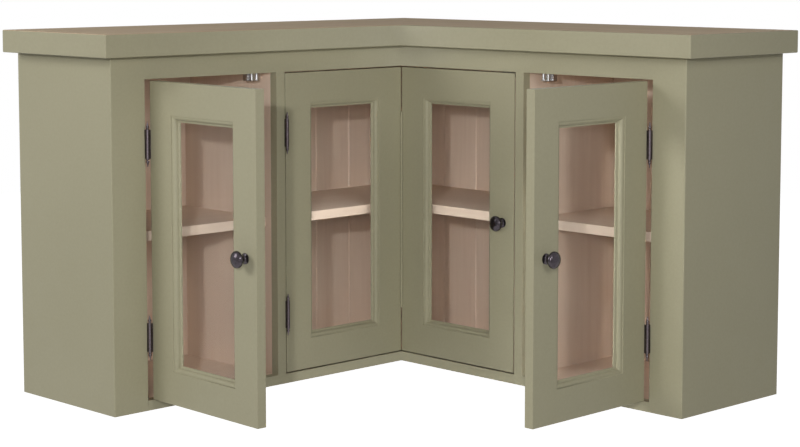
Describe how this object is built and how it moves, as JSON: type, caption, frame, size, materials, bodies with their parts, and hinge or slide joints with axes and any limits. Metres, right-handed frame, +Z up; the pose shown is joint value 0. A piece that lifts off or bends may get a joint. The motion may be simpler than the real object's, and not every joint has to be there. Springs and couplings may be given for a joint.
{
  "type": "corner wall cabinet",
  "caption": "L-shaped corner wall cabinet with a face frame, boarded back, shelves, glazed outer doors and a glazed folding pair across the inside corner.",
  "frame": {"origin": "in the corner of the room where the two wall faces meet, level with the cabinet's underside", "axes": "+X along the right-hand wall away from the corner, -Y along the left-hand wall away from the corner, +Z up"},
  "size_m": [1.252, 1.252, 0.827],
  "materials": {
    "painted_wood": "painted grey-green, satin",
    "interior_wood": "painted pinkish beige, matt",
    "glass": "clear",
    "pewter": "pewter",
    "dark_metal": "dark bronze, satin",
    "bright_metal": "nickel",
    "painted_hinge": "painted with the doors",
    "catch_case": "brown"
  },
  "bodies": {
    "carcass": {"back_boards_left": "interior_wood", "back_boards_right": "interior_wood", "bottom_panel_left": "interior_wood", "bottom_panel_right": "interior_wood", "bottom_rails": "painted_wood", "catch_cases": "bright_metal", "catch_rollers": "bright_metal", "corner_shelf": "interior_wood", "cornice_left": "painted_wood", "cornice_right": "painted_wood", "divider_left": "interior_wood", "divider_right": "interior_wood", "end_panel_left": "painted_wood", "end_panel_right": "painted_wood", "hanging_rails": "interior_wood", "hinge_frame_leaves": "pewter", "hinge_pins": "pewter", "magnet_catch": "catch_case", "mullions": "painted_wood", "outer_shelves": "interior_wood", "outer_stile_left": "painted_wood", "outer_stile_right": "painted_wood", "shelf_cleats": "interior_wood", "shelf_pins": "bright_metal", "top_covers": "interior_wood", "top_panel_left": "interior_wood", "top_panel_right": "interior_wood", "top_rail_left": "painted_wood", "top_rail_right": "painted_wood"},
    "left_outer_door": {"left_outer_door_beads": "painted_wood", "left_outer_door_glass": "glass", "left_outer_door_hinge_leaves": "pewter", "left_outer_door_knob": "dark_metal", "left_outer_door_mouldings": "painted_wood", "left_outer_door_rails": "painted_wood", "left_outer_door_stiles": "painted_wood", "left_outer_door_striker": "bright_metal"},
    "left_inner_door": {"fold_hinge_left_leaf": "painted_hinge", "left_inner_door_beads": "painted_wood", "left_inner_door_glass": "glass", "left_inner_door_hinge_leaves": "pewter", "left_inner_door_mouldings": "painted_wood", "left_inner_door_rails": "painted_wood", "left_inner_door_stiles": "painted_wood"},
    "right_inner_door": {"fold_hinge_right_leaf": "painted_hinge", "right_inner_door_beads": "painted_wood", "right_inner_door_glass": "glass", "right_inner_door_keeper": "bright_metal", "right_inner_door_knob": "dark_metal", "right_inner_door_mouldings": "painted_wood", "right_inner_door_rails": "painted_wood", "right_inner_door_stiles": "painted_wood"},
    "right_outer_door": {"right_outer_door_beads": "painted_wood", "right_outer_door_glass": "glass", "right_outer_door_hinge_leaves": "pewter", "right_outer_door_knob": "dark_metal", "right_outer_door_mouldings": "painted_wood", "right_outer_door_rails": "painted_wood", "right_outer_door_stiles": "painted_wood", "right_outer_door_striker": "bright_metal"}
  },
  "joints": [
    {"name": "left_outer_door_swing", "type": "hinge", "parent": "carcass", "child": "left_outer_door", "pos_m": [0.3565, -1.121, 0.375], "axis": [0, 0, -1], "range_deg": [-92, 78]},
    {"name": "right_outer_door_swing", "type": "hinge", "parent": "carcass", "child": "right_outer_door", "pos_m": [1.121, -0.3565, 0.375], "axis": [0, 0, 1], "range_deg": [-91, 79]},
    {"name": "folding_pair_swing", "type": "hinge", "parent": "carcass", "child": "left_inner_door", "pos_m": [0.3565, -0.723, 0.375], "axis": [0, 0, -1], "range_deg": [0, 85]},
    {"name": "folding_pair_fold", "type": "hinge", "parent": "left_inner_door", "child": "right_inner_door", "pos_m": [0.35283, -0.35283, 0.375], "axis": [0, 0, -1], "range_deg": [0, 70]}
  ]
}
